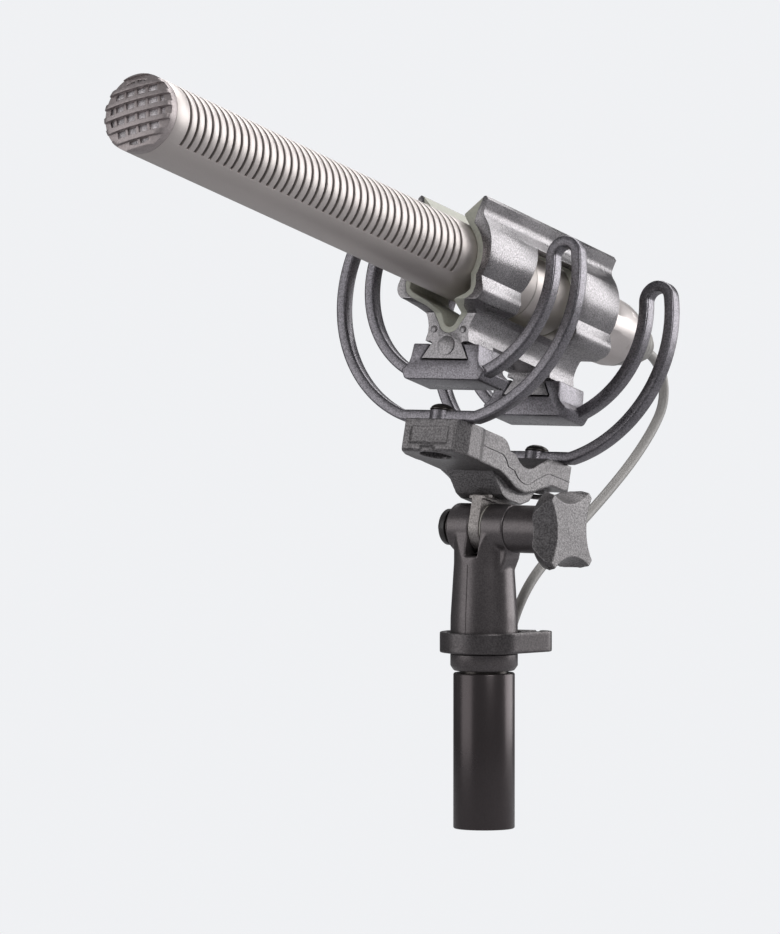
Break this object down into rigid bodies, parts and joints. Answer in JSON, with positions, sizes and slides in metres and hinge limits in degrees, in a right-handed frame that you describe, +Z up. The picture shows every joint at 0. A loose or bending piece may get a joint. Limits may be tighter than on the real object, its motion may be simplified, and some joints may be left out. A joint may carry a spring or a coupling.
{
  "type": "shotgun_microphone_in_suspension",
  "caption": "Short shotgun condenser microphone held in a clip by two folded lyre suspensions on a tilting bar, with a clamping knob, cable clip ring, stand tube and grey cable.",
  "frame": {"origin": "centre of the stand tube's lower end, where a stand's thread enters", "axes": "+Z up along the stand tube, +X along the tilt hinge towards its knob, the microphone looks towards -Y with its nose raised"},
  "size_m": [0.072, 0.234, 0.1869],
  "materials": {
    "satin_nickel": "satin",
    "nickel_shell": "satin",
    "black_metal": "satin",
    "dark_mesh": "matte",
    "dark_cloth": "matte",
    "brass": "satin",
    "polished_metal": "polished",
    "white_plastic": "matte",
    "board_green": "satin",
    "black_plastic": "matte",
    "gold_contact": "polished",
    "spring_steel": "satin",
    "grey_plastic": "matte",
    "black_rubber": "matte",
    "clip_grey": "matte",
    "olive_rubber": "matte",
    "lyre_grey": "matte",
    "black_steel": "satin",
    "bar_grey": "matte",
    "tongue_grey": "matte",
    "satin_black": "satin",
    "ring_grey": "matte",
    "gloss_black": "gloss",
    "cable_grey": "matte"
  },
  "bodies": {
    "stand": {"stand_tube": "gloss_black", "tube_insert": "brass", "tube_stud": "black_steel", "thread_adapter": "satin_black", "swivel_body": "satin_black", "hinge_bolt": "black_steel", "bolt_washer": "black_steel", "bolt_cap": "black_plastic", "friction_washers": "white_plastic", "hinge_spacer": "satin_black", "cable_grommet": "black_rubber"},
    "knob": {"wing_knob": "bar_grey", "knob_insert": "brass"},
    "clip_ring": {"cable_clip": "ring_grey"},
    "bar": {"suspension_bar": "bar_grey", "swivel_tongue": "tongue_grey", "tongue_screw": "black_steel", "front_lyre": "lyre_grey", "rear_lyre": "lyre_grey", "lyre_screws": "black_steel", "lyre_washers": "black_steel", "lyre_nuts": "black_steel", "mic_cable": "cable_grey"},
    "microphone": {"front_grille_cap": "black_metal", "grille_mesh": "dark_mesh", "interference_tube": "satin_nickel", "rear_body": "satin_nickel", "tube_lining": "dark_cloth", "capsule_housing": "brass", "diaphragm": "polished_metal", "diaphragm_ring": "brass", "backplate": "brass", "capsule_insulator": "white_plastic", "circuit_board": "board_green", "board_components": "black_plastic", "pin_carrier": "black_plastic", "connector_pins": "gold_contact", "connector_shell": "nickel_shell", "connector_insert": "black_plastic", "connector_contacts": "gold_contact", "latch_spring": "spring_steel", "cable_chuck": "grey_plastic", "connector_boot": "cable_grey", "mic_clip": "clip_grey", "clip_liner": "olive_rubber"},
    "latch": {"latch_button": "nickel_shell"}
  },
  "joints": [
    {"name": "head_tilt", "type": "hinge", "parent": "stand", "child": "bar", "pos_m": [0, 0, 0.0752], "axis": [1, 0, 0], "range_deg": [-60, 70], "deforming": ["mic_cable"]},
    {"name": "knob_turn", "type": "hinge", "parent": "stand", "child": "knob", "pos_m": [0.0225, 0, 0.0752], "axis": [1, 0, 0], "range_deg": [0, 360]},
    {"name": "clip_ring_turn", "type": "hinge", "parent": "stand", "child": "clip_ring", "pos_m": [0, 0, 0.0467], "axis": [0, 0, 1], "range_deg": [-180, 25]},
    {"name": "suspension_slide", "type": "slide", "parent": "bar", "child": "microphone", "axis": [0, 0.9659, -0.2588], "range_m": [-0.004, 0.004], "stiffness_N_per_m": 600, "springref_m": -0.0006},
    {"name": "latch_press", "type": "slide", "parent": "microphone", "child": "latch", "axis": [0, -0.2588, -0.9659], "range_m": [0, 0.0008], "stiffness_N_per_m": 400, "springref_m": -0.0004}
  ]
}
